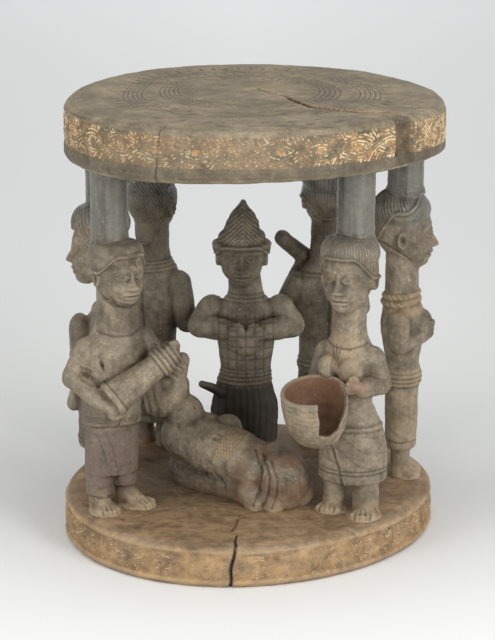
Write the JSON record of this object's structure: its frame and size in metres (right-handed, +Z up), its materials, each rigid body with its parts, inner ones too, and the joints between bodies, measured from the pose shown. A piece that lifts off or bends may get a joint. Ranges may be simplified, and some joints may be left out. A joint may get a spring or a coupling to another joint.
{
  "type": "altar stool",
  "caption": "Round carved wood altar stool: a thick seat on a ring of standing figures and a thick round base, all one block.",
  "frame": {"origin": "middle of the flat underside of the base, on the ground", "axes": "+Z up through the seat; the front with the drummer and the bowl bearer faces -Y, +X is to the viewer's right"},
  "size_m": [0.4463, 0.4426, 0.521],
  "materials": {
    "wood": "old carved wood with a worn dark patina, ochre dust and remains of cream and orange pigment"
  },
  "bodies": {
    "root": {"stool": "wood"}
  },
  "joints": []
}
